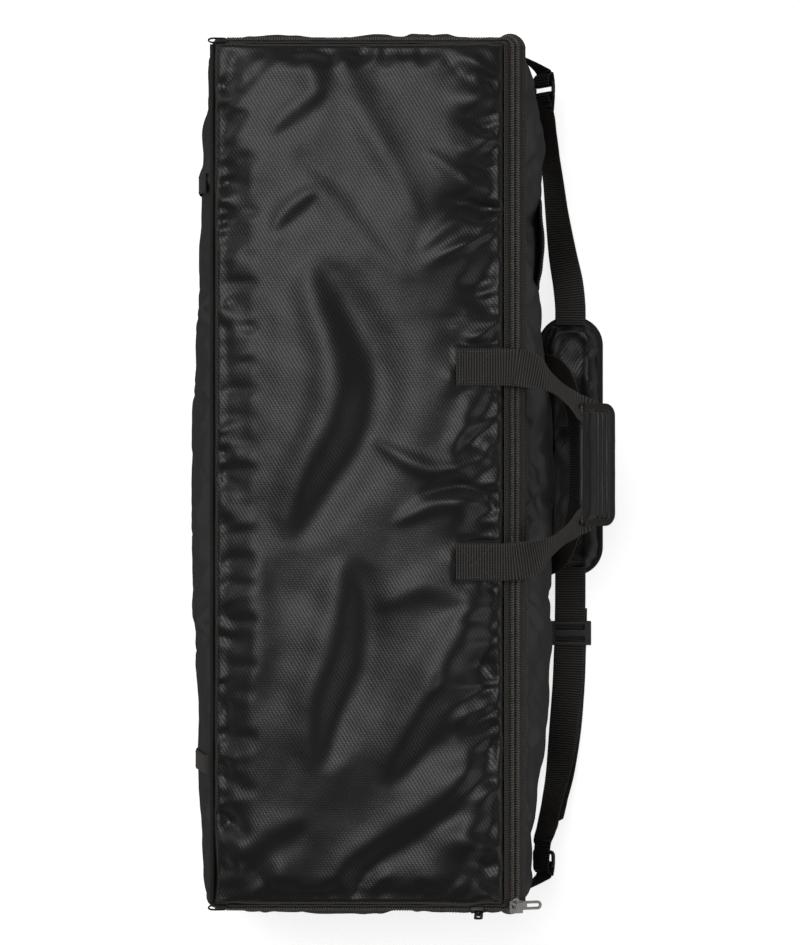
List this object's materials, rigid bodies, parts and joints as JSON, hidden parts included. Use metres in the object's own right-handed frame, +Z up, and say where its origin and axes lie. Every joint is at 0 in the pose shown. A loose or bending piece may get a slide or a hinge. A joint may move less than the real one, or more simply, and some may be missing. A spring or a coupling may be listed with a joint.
{
  "type": "telescope carry case",
  "caption": "Long padded soft case for a telescope tube: hinged lid with a three-sided coil zip, two webbing handles with a grip wrap, and a padded shoulder strap.",
  "frame": {"origin": "centre of the back panel's outer face, on which the case lies", "axes": "+Z up out of the lid, +Y along the case, +X towards the side with the handles and the shoulder strap"},
  "size_m": [0.4353, 0.9063, 0.285],
  "materials": {
    "shell_nylon": "satin twill-woven nylon",
    "webbing_black": "ribbed polyester webbing",
    "lining_grey": "brushed tricot lining",
    "coil_nylon": "moulded nylon coil",
    "zip_metal": "nickel-plated zinc",
    "ring_metal": "dark nickel-plated steel",
    "buckle_plastic": "moulded acetal"
  },
  "bodies": {
    "case": {"back_panel": "shell_nylon", "left_wall": "shell_nylon", "right_wall": "shell_nylon", "top_end_wall": "shell_nylon", "bottom_end_wall": "shell_nylon", "case_lining": "lining_grey", "case_zip_tape": "webbing_black", "case_zip_coil": "coil_nylon", "hinge_binding": "webbing_black", "zip_tab_top": "webbing_black", "zip_tab_bottom": "webbing_black", "wall_patch_top": "webbing_black", "wall_patch_bottom": "webbing_black", "end_webbing": "webbing_black", "card_pocket": "shell_nylon", "rear_patch_upper": "webbing_black", "rear_patch_lower": "webbing_black", "strap_anchor_top": "webbing_black", "strap_anchor_bottom": "webbing_black"},
    "lid": {"lid_panel": "shell_nylon", "lid_lining": "lining_grey", "lid_zip_tape": "webbing_black", "lid_zip_coil": "coil_nylon", "front_patch_upper": "webbing_black", "front_patch_lower": "webbing_black"},
    "front_handle": {"front_handle_web": "webbing_black", "grip_wrap": "shell_nylon"},
    "grip_leaf": {"grip_flap": "shell_nylon"},
    "rear_handle": {"rear_handle_web": "webbing_black"},
    "right_slider": {"slider_right": "zip_metal"},
    "left_slider": {"slider_left": "zip_metal"},
    "right_puller": {"puller_right": "zip_metal"},
    "left_puller": {"puller_left": "zip_metal"},
    "shoulder_strap": {"strap_tab_top": "webbing_black", "strap_tab_bottom": "webbing_black", "strap_ring_top": "ring_metal", "strap_ring_bottom": "ring_metal", "strap_web_upper": "webbing_black", "strap_web_lower": "webbing_black", "strap_web_return": "webbing_black", "strap_adjuster": "buckle_plastic", "strap_pad": "shell_nylon"}
  },
  "joints": [
    {"name": "lid_hinge", "type": "hinge", "parent": "case", "child": "lid", "pos_m": [-0.1605, 0, 0.2665], "axis": [0, -1, 0], "range_deg": [0, 175]},
    {"name": "front_handle_swing", "type": "hinge", "parent": "lid", "child": "front_handle", "pos_m": [0.1284, 0.0095, 0.2816], "axis": [0, -1, 0], "range_deg": [0, 160]},
    {"name": "grip_flap_open", "type": "hinge", "parent": "front_handle", "child": "grip_leaf", "pos_m": [0.21605, 0.0095, 0.24539], "axis": [0, -1, 0], "range_deg": [0, 90]},
    {"name": "rear_handle_swing", "type": "hinge", "parent": "case", "child": "rear_handle", "pos_m": [0.1835, 0.0095, 0.0775], "axis": [0, 1, 0], "range_deg": [0, 95]},
    {"name": "right_slider_run", "type": "slide", "parent": "lid", "child": "right_slider", "axis": [0, 1, 0], "range_m": [0, 0.86]},
    {"name": "left_slider_run", "type": "slide", "parent": "lid", "child": "left_slider", "axis": [-1, 0, 0], "range_m": [0, 0.23]},
    {"name": "right_puller_turn", "type": "hinge", "parent": "right_slider", "child": "right_puller", "pos_m": [0.14628, -0.4375, 0.2659], "axis": [0.342, 0, 0.9397], "range_deg": [-80, 80]},
    {"name": "left_puller_turn", "type": "hinge", "parent": "left_slider", "child": "left_puller", "pos_m": [0.11, -0.44051, 0.25859], "axis": [0, -0.9511, 0.309], "range_deg": [-80, 80]},
    {"name": "strap_swing", "type": "hinge", "parent": "case", "child": "shoulder_strap", "pos_m": [0.183, 0, 0.076], "axis": [0, -1, 0], "range_deg": [0, 75]}
  ]
}
